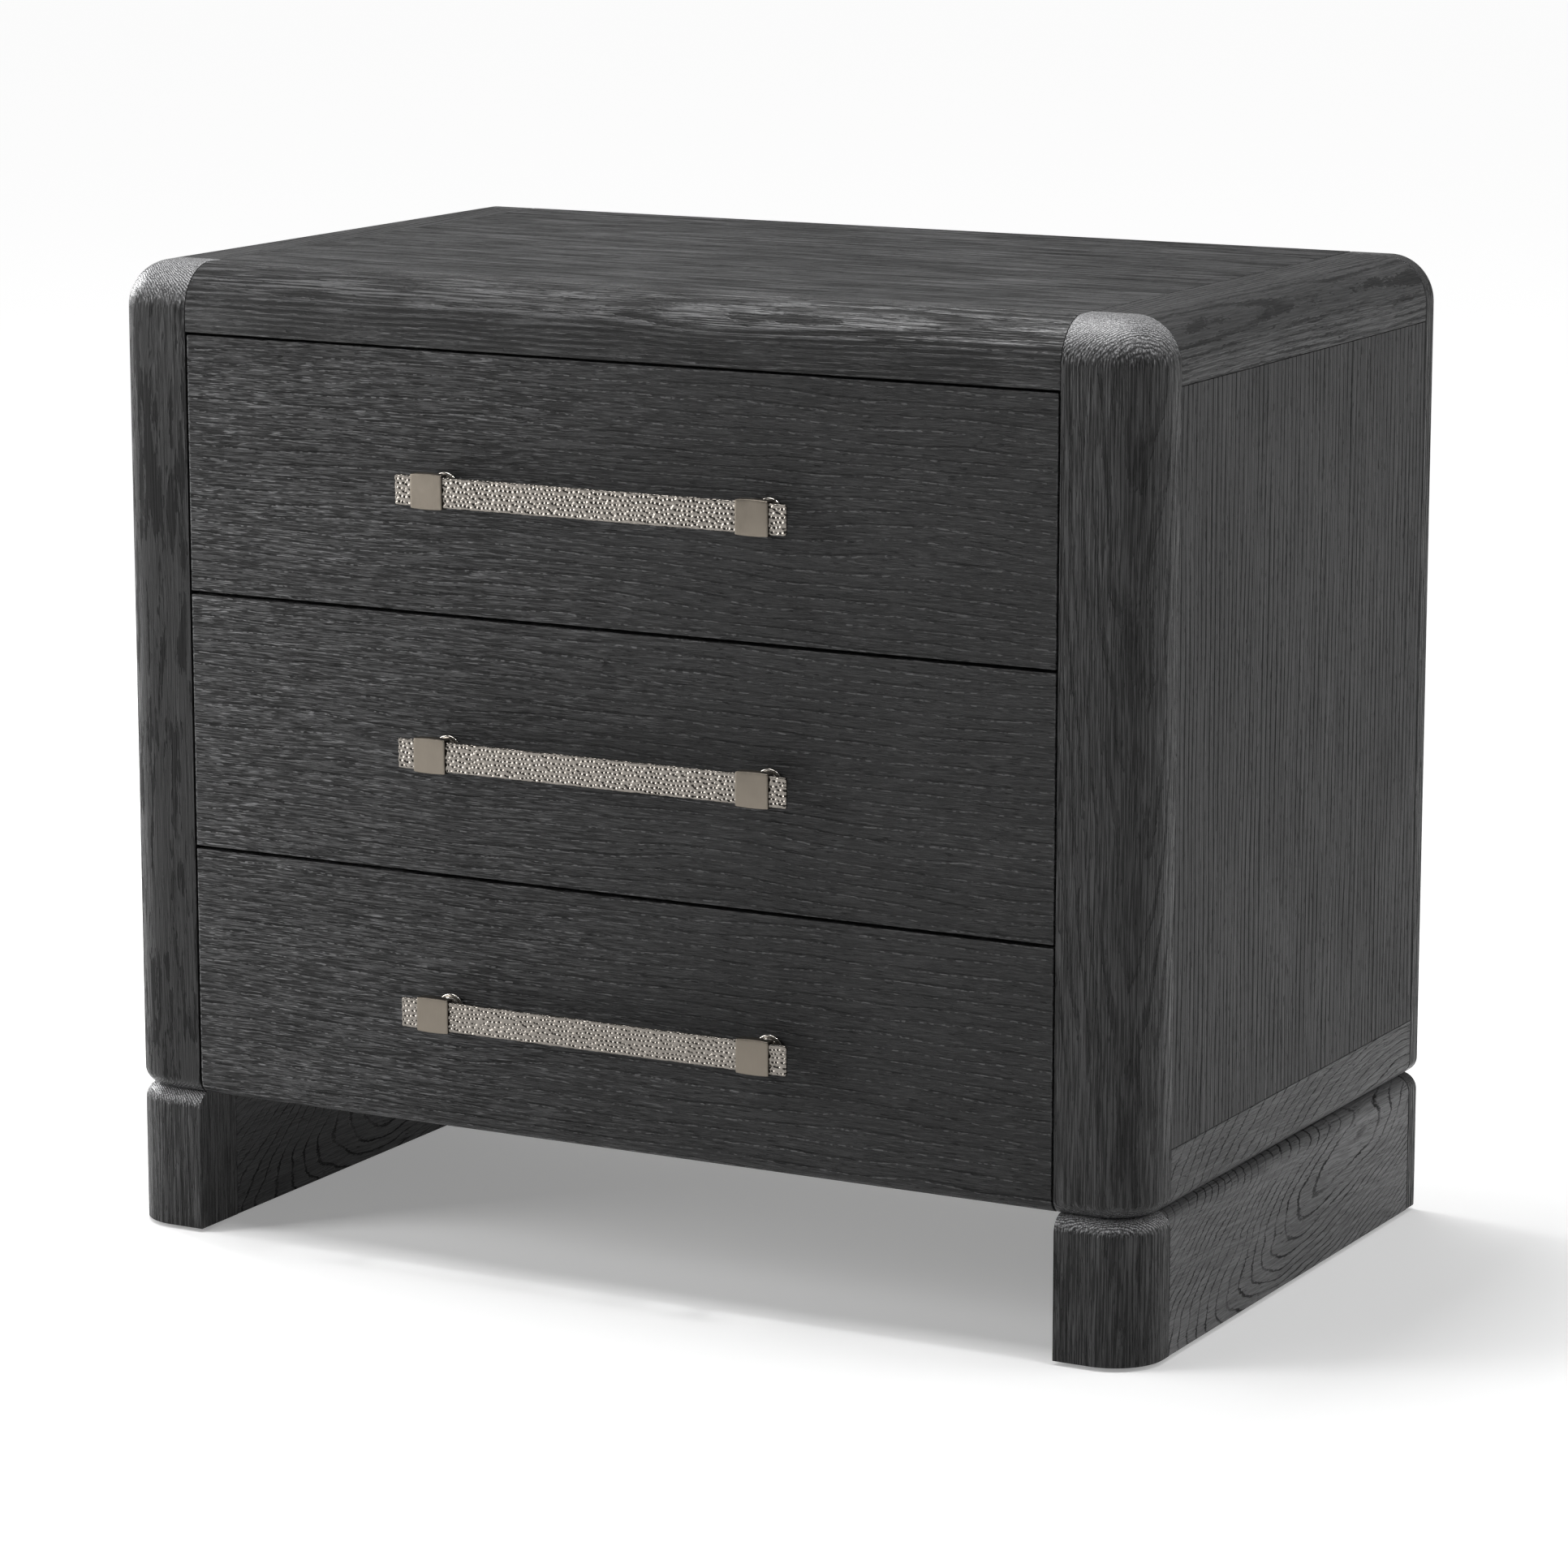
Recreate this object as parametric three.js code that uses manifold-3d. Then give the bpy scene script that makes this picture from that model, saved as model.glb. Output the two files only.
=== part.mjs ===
// Three-drawer nightstand in brushed oak on two sled bases, with hammered-metal bar pulls.
// Millimetres, +Z up, +Y towards the back, the drawers open towards -Y.
// Origin: the middle of the footprint (pulls included), on the floor.
import * as THREE from 'three';
import { mergeVertices } from 'three/addons/utils/BufferGeometryUtils.js';
import Module from 'manifold-3d';

const wasm = await Module();
wasm.setup();

// ---------------------------------------------------------------- driving dimensions
const WIDTH = 813;               // outside, side to side
const DEPTH = 480;               // front face of the posts to the back
const GLIDE_H = 2.5;             // nylon glide under each end of each base
const JOIN_Z = 103.5;            // plane where the case stands on the bases
const HEIGHT = 703.5;            // floor to top
const GAP = 0.3;                 // clearance between pieces that touch
const PULL_PROJECTION = 26.6;    // drawer face to the front of the pull's collars

const CORNER_R = 37;             // outer vertical corner of post and base
const TOP_R = 33;                // round along the front and side top edges
const LOW_R = 12;                // round at the case bottom and at the base top
const POST_W = 64.8;             // post, across the front
const POST_D = 46.3;             // post, front to back
const STRIP_D = 15;              // rear post and rear base strip, front to back
const TOP_RAIL_Z = 656.4;        // underside of the front top rail
const SIDE_RAIL_Z = 658;         // underside of the side top rails
const LOW_RAIL_Z = 145.8;        // top of the side bottom rails
const PANEL_T = 20;              // side panels
const TOP_T = 22;                // top panel
const BASE_W = 64.3;             // sled base, across

const FRONT_H = 182.1;           // each drawer front
const FRONT_T = 20;
const FRONT_GAP = 2.4;           // between drawer fronts
const SIDE_GAP = 1.5;            // between a drawer front and a post
const BOX_T = 12;                // drawer sides and back
const BOX_H = 130;
const BOX_L = 420;               // drawer sides, front to back
const BOX_LIFT = 26;             // drawer side above the lower edge of its front
const BOTTOM_T = 6;              // drawer bottom, let into a groove
const GROOVE = 6;

const SLIDE_T = 12.7;            // slide thickness between case and drawer
const SLIDE_L = 450;

const STRAP_L = 306;             // hammered strap of the pull
const STRAP_H = 21.8;
const STRAP_T = 3;
const COLLAR_IN = 114.5;         // collar, from the middle of the pull: inner and outer end
const COLLAR_OUT = 139.8;
const COLLAR_H = 25;
const COLLAR_D = 8;
const ROSETTE_R = 10.9;
const STEM_R = 4.5;
const PULL_DROP = 2.4;           // pull centre below the middle of the drawer front

// ---------------------------------------------------------------- derived
const yFront = -(DEPTH + PULL_PROJECTION) / 2 + PULL_PROJECTION;
const yBack = yFront + DEPTH;
const xOut = WIDTH / 2;
const xPost = xOut - POST_W;     // inner face of the posts
const xBase = xOut - BASE_W;     // inner face of the bases
const xBox = xPost - SLIDE_T;    // outer face of the drawer sides

// ---------------------------------------------------------------- materials
const finish = {
  oak: () => new THREE.MeshStandardMaterial({ color: 0x3c3c3d, roughness: 0.62, metalness: 0 }),
  oakPanel: () => new THREE.MeshStandardMaterial({ color: 0x48484a, roughness: 0.6, metalness: 0 }),
  boxOak: () => new THREE.MeshStandardMaterial({ color: 0x57524c, roughness: 0.7, metalness: 0 }),
  ply: () => new THREE.MeshStandardMaterial({ color: 0x4a4641, roughness: 0.75, metalness: 0 }),
  steel: () => new THREE.MeshStandardMaterial({ color: 0x9a9c9e, roughness: 0.35, metalness: 1 }),
  strap: () => new THREE.MeshStandardMaterial({ color: 0x8e867b, roughness: 0.32, metalness: 1 }),
  collar: () => new THREE.MeshStandardMaterial({ color: 0x8d857b, roughness: 0.4, metalness: 1 }),
  nylon: () => new THREE.MeshStandardMaterial({ color: 0x1c1c1d, roughness: 0.55, metalness: 0 }),
};

// ---------------------------------------------------------------- helpers
function solid(geometry) {
  const g = geometry.clone();
  g.deleteAttribute('normal');
  g.deleteAttribute('uv');
  const m = mergeVertices(g, 1e-4);
  return new wasm.Manifold(new wasm.Mesh({
    numProp: 3,
    vertProperties: new Float32Array(m.attributes.position.array),
    triVerts: new Uint32Array(m.index.array),
  }));
}

function geometryOf(manifold) {
  const mesh = manifold.getMesh();
  const g = new THREE.BufferGeometry();
  g.setAttribute('position', new THREE.BufferAttribute(new Float32Array(mesh.vertProperties), 3));
  g.setIndex(new THREE.BufferAttribute(new Uint32Array(mesh.triVerts), 1));
  g.computeVertexNormals();
  return g;
}

function piece(parent, name, geometry, material, position = [0, 0, 0]) {
  const mesh = new THREE.Mesh(geometry, material);
  mesh.name = name;
  mesh.position.set(...position);
  parent.add(mesh);
  return mesh;
}

// A box from its low corner to its high corner.
function block(x0, x1, y0, y1, z0, z1) {
  const g = new THREE.BoxGeometry(x1 - x0, y1 - y0, z1 - z0);
  g.translate((x0 + x1) / 2, (y0 + y1) / 2, (z0 + z1) / 2);
  return g;
}

// Profile in (x, z), extruded along y from y0 to y1.
function alongY(points, y0, y1) {
  const g = new THREE.ExtrudeGeometry(outline(points), { depth: y1 - y0, bevelEnabled: false, steps: 1 });
  g.rotateX(Math.PI / 2);        // (x, y, z) becomes (x, -z, y)
  g.translate(0, y1, 0);
  return g;
}

// Profile in (y, z), extruded along x from x0 to x1.
function alongX(points, x0, x1) {
  const g = new THREE.ExtrudeGeometry(outline(points), { depth: x1 - x0, bevelEnabled: false, steps: 1 });
  g.applyMatrix4(new THREE.Matrix4().set(0, 0, 1, 0, 1, 0, 0, 0, 0, 1, 0, 0, 0, 0, 0, 1));
  g.translate(x0, 0, 0);
  return g;
}

function outline(points) {
  const s = new THREE.Shape();
  points.forEach(([a, b], i) => (i ? s.lineTo(a, b) : s.moveTo(a, b)));
  s.closePath();
  return s;
}

// Quarter round of radius r about (cx, cy), from angle a0 to a1 in degrees.
function quarter(cx, cy, r, a0, a1, n) {
  const out = [];
  for (let i = 0; i <= n; i++) {
    const a = THREE.MathUtils.degToRad(a0 + ((a1 - a0) * i) / n);
    out.push([cx + r * Math.cos(a), cy + r * Math.sin(a)]);
  }
  return out;
}

// The plan of the nightstand with its two rounded front corners, as a slab whose upper and lower
// edges are rounded by edgeR. It runs past the back, where the pieces are cut square.
function roundedSlab(edgeR, z0, z1, segments) {
  const s = new THREE.Shape();
  const yFar = yBack + 80;
  s.moveTo(-xOut + CORNER_R, yFront);
  s.lineTo(xOut - CORNER_R, yFront);
  s.absarc(xOut - CORNER_R, yFront + CORNER_R, CORNER_R, -Math.PI / 2, 0, false);
  s.lineTo(xOut, yFar);
  s.lineTo(-xOut, yFar);
  s.lineTo(-xOut, yFront + CORNER_R);
  s.absarc(-xOut + CORNER_R, yFront + CORNER_R, CORNER_R, Math.PI, Math.PI * 1.5, false);
  const g = new THREE.ExtrudeGeometry(s, {
    depth: z1 - z0 - 2 * edgeR,
    bevelEnabled: true,
    bevelThickness: edgeR,
    bevelSize: edgeR,
    bevelOffset: -edgeR,
    bevelSegments: segments,
    curveSegments: 10,
  });
  g.translate(0, 0, z0 + edgeR);
  return solid(g);
}

// ---------------------------------------------------------------- the nightstand
const nightstand = new THREE.Group();

// ---- case
const carcase = new THREE.Group();
nightstand.add(carcase);
const caseLow = JOIN_Z + GAP / 2;

const caseUpper = roundedSlab(TOP_R, -400, HEIGHT, 8);
const caseLower = roundedSlab(LOW_R, caseLow, 1400, 4);
const caseForm = caseUpper.intersect(caseLower);

for (const [side, s] of [['left', -1], ['right', 1]]) {
  const xa = Math.min(s * xPost, s * (xOut + 5));
  const xb = Math.max(s * xPost, s * (xOut + 5));
  const cutter = solid(block(xa, xb, yFront - 5, yFront + POST_D, 50, 800));
  piece(carcase, `front_${side}_post`, geometryOf(caseForm.intersect(cutter)), finish.oak());

  // rear post: a strip as deep as the back frame, with the same top and bottom rounds
  const rear = [
    [s * xPost, caseLow], [s * (xOut - LOW_R), caseLow],
    ...quarter(xOut - LOW_R, caseLow + LOW_R, LOW_R, -90, 0, 4).slice(1).map(([x, z]) => [s * x, z]),
    ...quarter(xOut - TOP_R, HEIGHT - TOP_R, TOP_R, 0, 90, 10).map(([x, z]) => [s * x, z]),
    [s * xPost, HEIGHT],
  ];
  if (s < 0) rear.reverse();
  piece(carcase, `back_${side}_post`, alongY(rear, yBack - STRIP_D, yBack), finish.oak());

  const y0 = yFront + POST_D + GAP;
  const y1 = yBack - STRIP_D - GAP;

  // side top rail with the big round
  const top = [
    [s * (xPost + GAP / 2), SIDE_RAIL_Z], [s * xOut, SIDE_RAIL_Z],
    ...quarter(xOut - TOP_R, HEIGHT - TOP_R, TOP_R, 0, 90, 10).map(([x, z]) => [s * x, z]),
    [s * (xPost + GAP / 2), HEIGHT],
  ];
  if (s < 0) top.reverse();
  piece(carcase, `${side}_top_rail`, alongY(top, y0, y1), finish.oak());

  // side panel
  const pa = Math.min(s * (xOut - PANEL_T), s * xOut);
  piece(carcase, `${side}_side_panel`,
    new THREE.BoxGeometry(PANEL_T, y1 - y0, SIDE_RAIL_Z - LOW_RAIL_Z - 2 * GAP), finish.oakPanel(),
    [pa + PANEL_T / 2, (y0 + y1) / 2, (SIDE_RAIL_Z + LOW_RAIL_Z) / 2]);

  // side bottom rail
  const low = [
    [s * (xOut - 40), caseLow], [s * (xOut - LOW_R), caseLow],
    ...quarter(xOut - LOW_R, caseLow + LOW_R, LOW_R, -90, 0, 4).slice(1).map(([x, z]) => [s * x, z]),
    [s * xOut, LOW_RAIL_Z], [s * (xOut - 40), LOW_RAIL_Z],
  ];
  if (s < 0) low.reverse();
  piece(carcase, `${side}_bottom_rail`, alongY(low, y0, y1), finish.oak());
}

// front top rail: bullnose along the front
piece(carcase, 'front_top_rail', alongX([
  [yFront + POST_D, HEIGHT],
  ...quarter(yFront + TOP_R, HEIGHT - TOP_R, TOP_R, 90, 180, 10),
  [yFront, TOP_RAIL_Z], [yFront + POST_D, TOP_RAIL_Z],
], -xPost + GAP, xPost - GAP), finish.oak());

// top panel, up to the back edge
{
  const y0 = yFront + POST_D + GAP;
  piece(carcase, 'top_panel',
    new THREE.BoxGeometry(2 * (xPost - GAP), yBack - y0, TOP_T), finish.oakPanel(),
    [0, (y0 + yBack) / 2, HEIGHT - TOP_T / 2]);
}

// back panel, between the rear posts and under the top panel
piece(carcase, 'back_panel',
  new THREE.BoxGeometry(2 * (xPost - GAP), 6, HEIGHT - TOP_T - GAP - caseLow), finish.ply(),
  [0, yBack - 4, (HEIGHT - TOP_T - GAP + caseLow) / 2]);

// bottom panel, notched round the posts, standing on the bases
{
  const xa = xPost - GAP;
  const xb = xOut - 40 - GAP;
  const ya = yFront + FRONT_T + 3;
  const yb = yFront + POST_D + GAP;
  const yc = yBack - STRIP_D - GAP;
  const yd = yBack - 7 - GAP;
  const g = new THREE.ExtrudeGeometry(outline([
    [-xa, ya], [xa, ya], [xa, yb], [xb, yb], [xb, yc], [xa, yc],
    [xa, yd], [-xa, yd], [-xa, yc], [-xb, yc], [-xb, yb], [-xa, yb],
  ]), { depth: 12, bevelEnabled: false });
  piece(carcase, 'bottom_panel', g, finish.ply(), [0, 0, caseLow]);
}

// ---- sled bases
const baseTop = JOIN_Z - GAP / 2;
const baseLow = GLIDE_H + GAP;
const baseForm = roundedSlab(LOW_R, -600, baseTop, 4);
for (const [side, s] of [['left', -1], ['right', 1]]) {
  const base = new THREE.Group();
  nightstand.add(base);
  const xa = Math.min(s * xBase, s * (xOut + 5));
  const xb = Math.max(s * xBase, s * (xOut + 5));
  const cutter = solid(block(xa, xb, yFront - 5, yFront + POST_D, baseLow, 200));
  piece(base, `${side}_base_front_block`, geometryOf(baseForm.intersect(cutter)), finish.oak());

  const section = [
    [s * xBase, baseLow], [s * xOut, baseLow],
    ...quarter(xOut - LOW_R, baseTop - LOW_R, LOW_R, 0, 90, 5).map(([x, z]) => [s * x, z]),
    [s * xBase, baseTop],
  ];
  if (s < 0) section.reverse();
  piece(base, `${side}_base_board`,
    alongY(section, yFront + POST_D + GAP, yBack - STRIP_D - GAP), finish.oak());
  piece(base, `${side}_base_back_block`, alongY(section, yBack - STRIP_D, yBack), finish.oak());

  // glides: turned nylon buttons, one under the front block and one under the board's rear end
  for (const [end, y] of [['front', yFront + 26], ['back', yBack - 44]]) {
    const g = new THREE.LatheGeometry([
      new THREE.Vector2(0, 0), new THREE.Vector2(10, 0), new THREE.Vector2(12, 0.8),
      new THREE.Vector2(12, GLIDE_H), new THREE.Vector2(0, GLIDE_H),
    ], 24);
    g.rotateX(Math.PI / 2);
    piece(base, `${side}_${end}_glide`, g, finish.nylon(), [s * (xOut - 33), y, 0]);
  }
}

// ---- slides: a C-section on the case and a T-section on the drawer
const slideY0 = yFront + 22;
function caseSlide(s) {
  // distances run from the post's inner face towards the drawer
  const d = (t) => s * (xPost - t);
  const p = [
    [d(GAP), -21], [d(9.3), -21], [d(9.3), -15], [d(7.8), -15], [d(7.8), -19.5], [d(1.8), -19.5],
    [d(1.8), 19.5], [d(7.8), 19.5], [d(7.8), 15], [d(9.3), 15], [d(9.3), 21], [d(GAP), 21],
  ];
  if (s > 0) p.reverse();
  return alongY(p, slideY0, slideY0 + SLIDE_L);
}
function drawerSlide(s) {
  const d = (t) => s * (xPost - t);
  const p = [
    [d(3.6), -17], [d(5.6), -17], [d(5.6), -11], [d(10.9), -11], [d(10.9), -16], [d(12.4), -16],
    [d(12.4), 16], [d(10.9), 16], [d(10.9), 11], [d(5.6), 11], [d(5.6), 17], [d(3.6), 17],
  ];
  if (s > 0) p.reverse();
  return alongY(p, slideY0 + 0.5, yFront + FRONT_T + GAP + BOX_L);
}

// ---- pull
// Collar, stem and stepped rosette in one casting. The collar is a sleeve round the strap.
function pullPost() {
  const yCollar = -PULL_PROJECTION;
  const collar = solid(block(-(COLLAR_OUT - COLLAR_IN) / 2, (COLLAR_OUT - COLLAR_IN) / 2,
    yCollar, yCollar + COLLAR_D, -COLLAR_H / 2, COLLAR_H / 2));
  const slot = solid(block(-50, 50, -25.3 - GAP, -25.3 + STRAP_T + GAP,
    -STRAP_H / 2 - GAP, STRAP_H / 2 + GAP));
  const turned = new THREE.LatheGeometry([
    new THREE.Vector2(0, GAP), new THREE.Vector2(ROSETTE_R, GAP), new THREE.Vector2(ROSETTE_R, 2),
    new THREE.Vector2(8.6, 2.4), new THREE.Vector2(8.6, 3.8), new THREE.Vector2(STEM_R, 4.6),
    new THREE.Vector2(STEM_R, 19.5), new THREE.Vector2(0, 19.5),
  ], 32);
  turned.rotateX(Math.PI);       // the turned axis runs from the drawer face out to the collar
  return geometryOf(collar.subtract(slot).add(solid(turned)));
}

// ---- drawers
const drawerZ = [JOIN_Z, JOIN_Z + FRONT_H + FRONT_GAP, JOIN_Z + 2 * (FRONT_H + FRONT_GAP)];
['bottom', 'middle', 'top'].forEach((level, i) => {
  const drawer = new THREE.Group();
  drawer.position.set(0, 0, drawerZ[i]);
  nightstand.add(drawer);

  const boxZ0 = BOX_LIFT;
  const boxZ1 = BOX_LIFT + BOX_H;
  const yBox0 = yFront + FRONT_T + GAP;
  const yBox1 = yBox0 + BOX_L;
  const xFront = xPost - SIDE_GAP;
  const panelZ = boxZ0 + 10;     // underside of the drawer bottom

  // the drawer bottom and the groove it sits in
  const bx = xBox - BOX_T + GROOVE - GAP;
  const by0 = yBox0 - GROOVE;
  const by1 = yBox1 - BOX_T + GROOVE - GAP;
  const bottom = block(-bx, bx, by0, by1, panelZ, panelZ + BOTTOM_T);
  const groove = solid(block(-bx - GAP, bx + GAP, by0 - GAP, by1 + GAP, panelZ - GAP, panelZ + BOTTOM_T + GAP));

  const face = level === 'bottom'
    ? alongX([
      [yFront, FRONT_H], [yFront, LOW_R],
      ...quarter(yFront + LOW_R, LOW_R, LOW_R, 180, 270, 5).slice(1),
      [yFront + FRONT_T, 0], [yFront + FRONT_T, FRONT_H],
    ], -xFront, xFront)
    : block(-xFront, xFront, yFront, yFront + FRONT_T, 0, FRONT_H);
  piece(drawer, `${level}_drawer_front`, geometryOf(solid(face).subtract(groove)), finish.oak());

  for (const [side, s] of [['left', -1], ['right', 1]]) {
    const xa = Math.min(s * xBox, s * (xBox - BOX_T));
    const wall = solid(block(xa, xa + BOX_T, yBox0, yBox1, boxZ0, boxZ1)).subtract(groove);
    piece(drawer, `${level}_drawer_${side}_side`, geometryOf(wall), finish.boxOak());
    piece(drawer, `${level}_drawer_${side}_slide`, drawerSlide(s), finish.steel(), [0, 0, boxZ0 + BOX_H / 2]);
  }
  const xi = xBox - BOX_T - GAP;
  const rear = solid(block(-xi, xi, yBox1 - BOX_T, yBox1, boxZ0, boxZ1)).subtract(groove);
  piece(drawer, `${level}_drawer_back`, geometryOf(rear), finish.boxOak());
  piece(drawer, `${level}_drawer_bottom`, bottom, finish.ply());

  // pull
  const pull = new THREE.Group();
  pull.position.set(0, yFront, FRONT_H / 2 - PULL_DROP);
  drawer.add(pull);
  piece(pull, `${level}_pull_strap`, new THREE.BoxGeometry(STRAP_L, STRAP_T, STRAP_H), finish.strap(),
    [0, -25.3 + STRAP_T / 2, 0]);
  for (const [side, s] of [['left', -1], ['right', 1]]) {
    piece(pull, `${level}_pull_${side}_post`, pullPost(), finish.collar(),
      [s * (COLLAR_IN + COLLAR_OUT) / 2, 0, 0]);
  }

  // slide members on the case, level with the drawer's own
  for (const [side, s] of [['left', -1], ['right', 1]]) {
    piece(carcase, `${level}_case_${side}_slide`, caseSlide(s), finish.steel(),
      [0, 0, drawerZ[i] + boxZ0 + BOX_H / 2]);
  }
});

export default nightstand;
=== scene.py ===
import math

import bpy
import numpy as np
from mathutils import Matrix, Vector


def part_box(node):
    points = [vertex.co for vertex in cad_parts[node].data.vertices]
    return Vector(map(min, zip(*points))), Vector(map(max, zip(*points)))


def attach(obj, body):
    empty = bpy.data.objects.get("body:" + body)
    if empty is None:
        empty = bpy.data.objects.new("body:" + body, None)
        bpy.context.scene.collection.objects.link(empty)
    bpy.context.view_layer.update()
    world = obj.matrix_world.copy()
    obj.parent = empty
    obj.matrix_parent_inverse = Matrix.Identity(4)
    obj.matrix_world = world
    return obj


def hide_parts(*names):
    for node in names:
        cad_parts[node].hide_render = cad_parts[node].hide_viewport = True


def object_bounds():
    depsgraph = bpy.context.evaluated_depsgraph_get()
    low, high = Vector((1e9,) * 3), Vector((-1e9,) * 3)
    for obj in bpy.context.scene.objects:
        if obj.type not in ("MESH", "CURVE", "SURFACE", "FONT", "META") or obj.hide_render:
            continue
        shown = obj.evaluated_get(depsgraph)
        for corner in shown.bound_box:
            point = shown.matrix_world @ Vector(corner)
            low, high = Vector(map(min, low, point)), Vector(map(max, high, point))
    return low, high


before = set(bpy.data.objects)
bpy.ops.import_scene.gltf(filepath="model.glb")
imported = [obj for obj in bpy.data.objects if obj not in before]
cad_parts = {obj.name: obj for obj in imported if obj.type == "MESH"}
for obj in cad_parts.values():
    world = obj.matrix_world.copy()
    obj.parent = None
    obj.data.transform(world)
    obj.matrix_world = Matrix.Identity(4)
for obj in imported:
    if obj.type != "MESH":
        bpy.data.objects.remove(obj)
CAD_BOX = [list(v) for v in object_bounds()]

# ------------------------------------------------------------------ sizes, in metres, read off the frame
LO, HI = Vector(CAD_BOX[0]), Vector(CAD_BOX[1])
X_OUT = HI.x
Y_BACK = HI.y
Z_TOP = HI.z
lo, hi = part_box("front_right_post")
Y_FRONT, Y_POST, X_POST, Z_CASE = lo.y, hi.y, lo.x, lo.z
lo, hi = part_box("right_base_front_block")
X_BASE, Z_BASE_LOW, Z_BASE_TOP = lo.x, lo.z, hi.z
Y_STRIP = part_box("back_right_post")[0].y
R_CORNER, R_TOP, R_LOW = 0.037, 0.033, 0.012


# ------------------------------------------------------------------ mesh helpers
def mesh_object(name, verts, faces, material, body, replaces=(), bevel=0.0, segments=2, angle=30.0,
                smooth=True):
    me = bpy.data.meshes.new(name)
    me.from_pydata([tuple(map(float, v)) for v in verts], [], [tuple(int(i) for i in f) for f in faces])
    me.validate()
    me.update()
    me.materials.append(material)
    if smooth:
        me.polygons.foreach_set("use_smooth", [True] * len(me.polygons))
        if not bevel:
            me.set_sharp_from_angle(angle=math.radians(38))
    ob = bpy.data.objects.new(name, me)
    bpy.context.scene.collection.objects.link(ob)
    if bevel:
        m = ob.modifiers.new("edges", "BEVEL")
        m.width = bevel
        m.segments = segments
        m.limit_method = "ANGLE"
        m.angle_limit = math.radians(angle)
        m.harden_normals = True
        m.use_clamp_overlap = True
    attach(ob, body)
    if replaces:
        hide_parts(*replaces)
    return ob


def loft(rings, closed_caps=True, flip=False):
    """Vertices and faces of a skin over equal-length closed rings, capped at both ends."""
    n = len(rings[0])
    verts = [p for r in rings for p in r]
    faces = []
    for k in range(len(rings) - 1):
        a, b = k * n, (k + 1) * n
        for i in range(n):
            j = (i + 1) % n
            faces.append((a + i, a + j, b + j, b + i))
    if closed_caps:
        faces.append(tuple(reversed(range(n))))
        last = (len(rings) - 1) * n
        faces.append(tuple(range(last, last + n)))
    if flip:
        faces = [tuple(reversed(f)) for f in faces]
    return verts, faces


def arc(cx, cy, r, a0, a1, n):
    t = np.radians(np.linspace(a0, a1, n + 1))
    return [(cx + r * math.cos(a), cy + r * math.sin(a)) for a in t]


def inset_at(z, z0, r0, z1, r1):
    """How far the outline is drawn in at height z by the rounds at the bottom (r0) and the top (r1)."""
    d = 0.0
    if r0 and z < z0 + r0:
        h = (z0 + r0 - z)
        d = r0 - math.sqrt(max(r0 * r0 - h * h, 0.0))
    if r1 and z > z1 - r1:
        h = (z - (z1 - r1))
        d = max(d, r1 - math.sqrt(max(r1 * r1 - h * h, 0.0)))
    return d


def corner_piece(s, x_in, z0, r0, z1, r1, nseg=28):
    """A front post or base block: outer vertical corner round, with rolled top and bottom edges."""
    zs = []
    if r0:
        zs += [z0 + r0 * (1 - math.cos(a)) for a in np.linspace(0, math.pi / 2, 13)]
    else:
        zs += [z0]
    span0, span1 = zs[-1], (z1 - r1 if r1 else z1)
    zs += list(np.linspace(span0, span1, 9))[1:-1]
    if r1:
        zs += [z1 - r1 * (1 - math.sin(a)) for a in np.linspace(0, math.pi / 2, 22)]
    else:
        zs += [z1]
    rings = []
    for z in zs:
        d = inset_at(z, z0, r0, z1, r1)
        rho = R_CORNER - d
        cx, cy = X_OUT - R_CORNER, Y_FRONT + R_CORNER
        ring = [(x_in, Y_POST), (x_in, Y_FRONT + d)]
        for t in np.linspace(0, math.pi / 2, nseg + 1):
            ring.append((cx + rho * math.sin(t), cy - rho * math.cos(t)))
        ring.append((X_OUT - d, Y_POST))
        rings.append([(s * x, y, z) for x, y in ring])
    return loft(rings, flip=s < 0)


def extrude_y(profile, y0, y1, s=1, cuts=1):
    """profile: closed (x, z) points, anticlockwise seen from -Y; mirrored in x when s is -1."""
    rings = [[(s * x, y, z) for x, z in profile] for y in np.linspace(y0, y1, cuts + 1)]
    return loft(rings, flip=s > 0)


def extrude_x(profile, x0, x1, cuts=1):
    """profile: closed (y, z) points, anticlockwise seen from +X."""
    rings = [[(x, y, z) for y, z in profile] for x in np.linspace(x0, x1, cuts + 1)]
    return loft(rings)


def box_mesh(a, b):
    x0, y0, z0 = a
    x1, y1, z1 = b
    v = [(x0, y0, z0), (x1, y0, z0), (x1, y1, z0), (x0, y1, z0), (x0, y0, z1), (x1, y0, z1), (x1, y1, z1), (x0, y1, z1)]
    f = [(0, 3, 2, 1), (4, 5, 6, 7), (0, 1, 5, 4), (1, 2, 6, 5), (2, 3, 7, 6), (3, 0, 4, 7)]
    return v, f


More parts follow.
